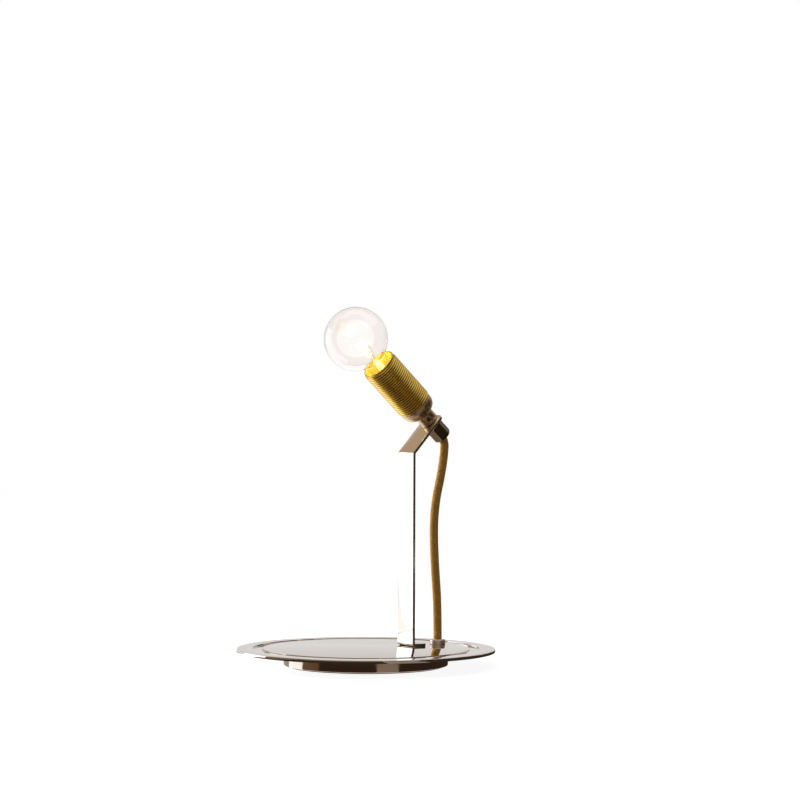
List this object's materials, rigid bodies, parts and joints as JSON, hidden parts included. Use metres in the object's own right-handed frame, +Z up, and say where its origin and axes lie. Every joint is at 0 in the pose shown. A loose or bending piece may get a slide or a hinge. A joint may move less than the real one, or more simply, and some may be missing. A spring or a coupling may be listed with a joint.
{
  "type": "table lamp",
  "caption": "Bare-bulb table lamp: round polished plate on a low foot, bent flat-bar post, tilted threaded brass lampholder, globe bulb and braided lead.",
  "frame": {"origin": "middle of the foot's underside, on the surface the lamp stands on", "axes": "+Z up; -Y is the front, where the bulb is thrown; +Y is the back, where the arm leans and the lead hangs; X is across the post's width"},
  "size_m": [0.182, 0.182, 0.2519],
  "materials": {
    "nickel_polished": "polished",
    "brass_holder": "satin",
    "brass_dark": "satin",
    "brass_small": "satin",
    "nickel_bush": "polished",
    "steel_fixings": "satin",
    "ballast_iron": "matte",
    "cover_steel": "matte",
    "felt_black": "matte",
    "braid_gold": "satin",
    "block_white": "matte",
    "outlet_black": "matte",
    "insert_clear": "matte",
    "wire_brown": "satin",
    "wire_blue": "satin",
    "wire_earth": "satin",
    "wire_head": "satin",
    "steatite": "matte",
    "bulb_glass": "gloss",
    "stem_glass": "gloss",
    "bulb_cap_brass": "satin",
    "insulator_black": "gloss",
    "solder": "satin",
    "lead_nickel": "satin",
    "tungsten": "satin"
  },
  "bodies": {
    "lamp": {"base_plate": "nickel_polished", "foot_casing": "nickel_polished", "post_strap": "nickel_polished", "holder_barrel": "brass_holder", "holder_cap": "brass_holder", "cord_grip": "brass_dark", "arm_lock_washer": "brass_dark", "entry_nipple": "brass_dark", "screw_shell": "brass_small", "centre_contact": "brass_small", "terminal_sleeves": "brass_small", "earth_tag": "brass_small", "cord_bush_nut": "brass_small", "cord_bush": "nickel_bush", "plate_nuts": "steel_fixings", "plate_washers": "steel_fixings", "cover_screws": "steel_fixings", "strap_screws": "steel_fixings", "strap_washers": "steel_fixings", "terminal_screws": "steel_fixings", "block_screw": "steel_fixings", "cap_grub_screw": "steel_fixings", "core_terminal_screws": "steel_fixings", "ballast_weight": "ballast_iron", "bottom_cover": "cover_steel", "felt_pad": "felt_black", "lamp_cord": "braid_gold", "terminal_block": "block_white", "mains_outlet_bush": "outlet_black", "cord_grip_insert": "insert_clear", "live_wire": "wire_brown", "neutral_wire": "wire_blue", "earth_wire": "wire_earth", "holder_wires": "wire_head", "ceramic_core": "steatite"},
    "bulb_foot": {"bulb_contact_tip": "solder", "bulb_insulator": "insulator_black"},
    "bulb": {"bulb_screw_cap": "bulb_cap_brass", "bulb_globe": "bulb_glass", "bulb_stem": "stem_glass", "bulb_lead_wires": "lead_nickel", "bulb_filament": "tungsten"}
  },
  "joints": [
    {"name": "bulb_advance", "type": "slide", "parent": "lamp", "child": "bulb_foot", "axis": [0, -0.7373, 0.6756], "range_m": [0, 0.0127]},
    {"name": "bulb_turn", "type": "hinge", "parent": "bulb_foot", "child": "bulb", "pos_m": [0, 0.0534, 0.17237], "axis": [0, -0.7373, 0.6756], "range_deg": [0, 1620]}
  ],
  "couplings": [
    {"joint": "bulb_advance", "follows": "bulb_turn", "m_per_rad": 0.00044882}
  ]
}
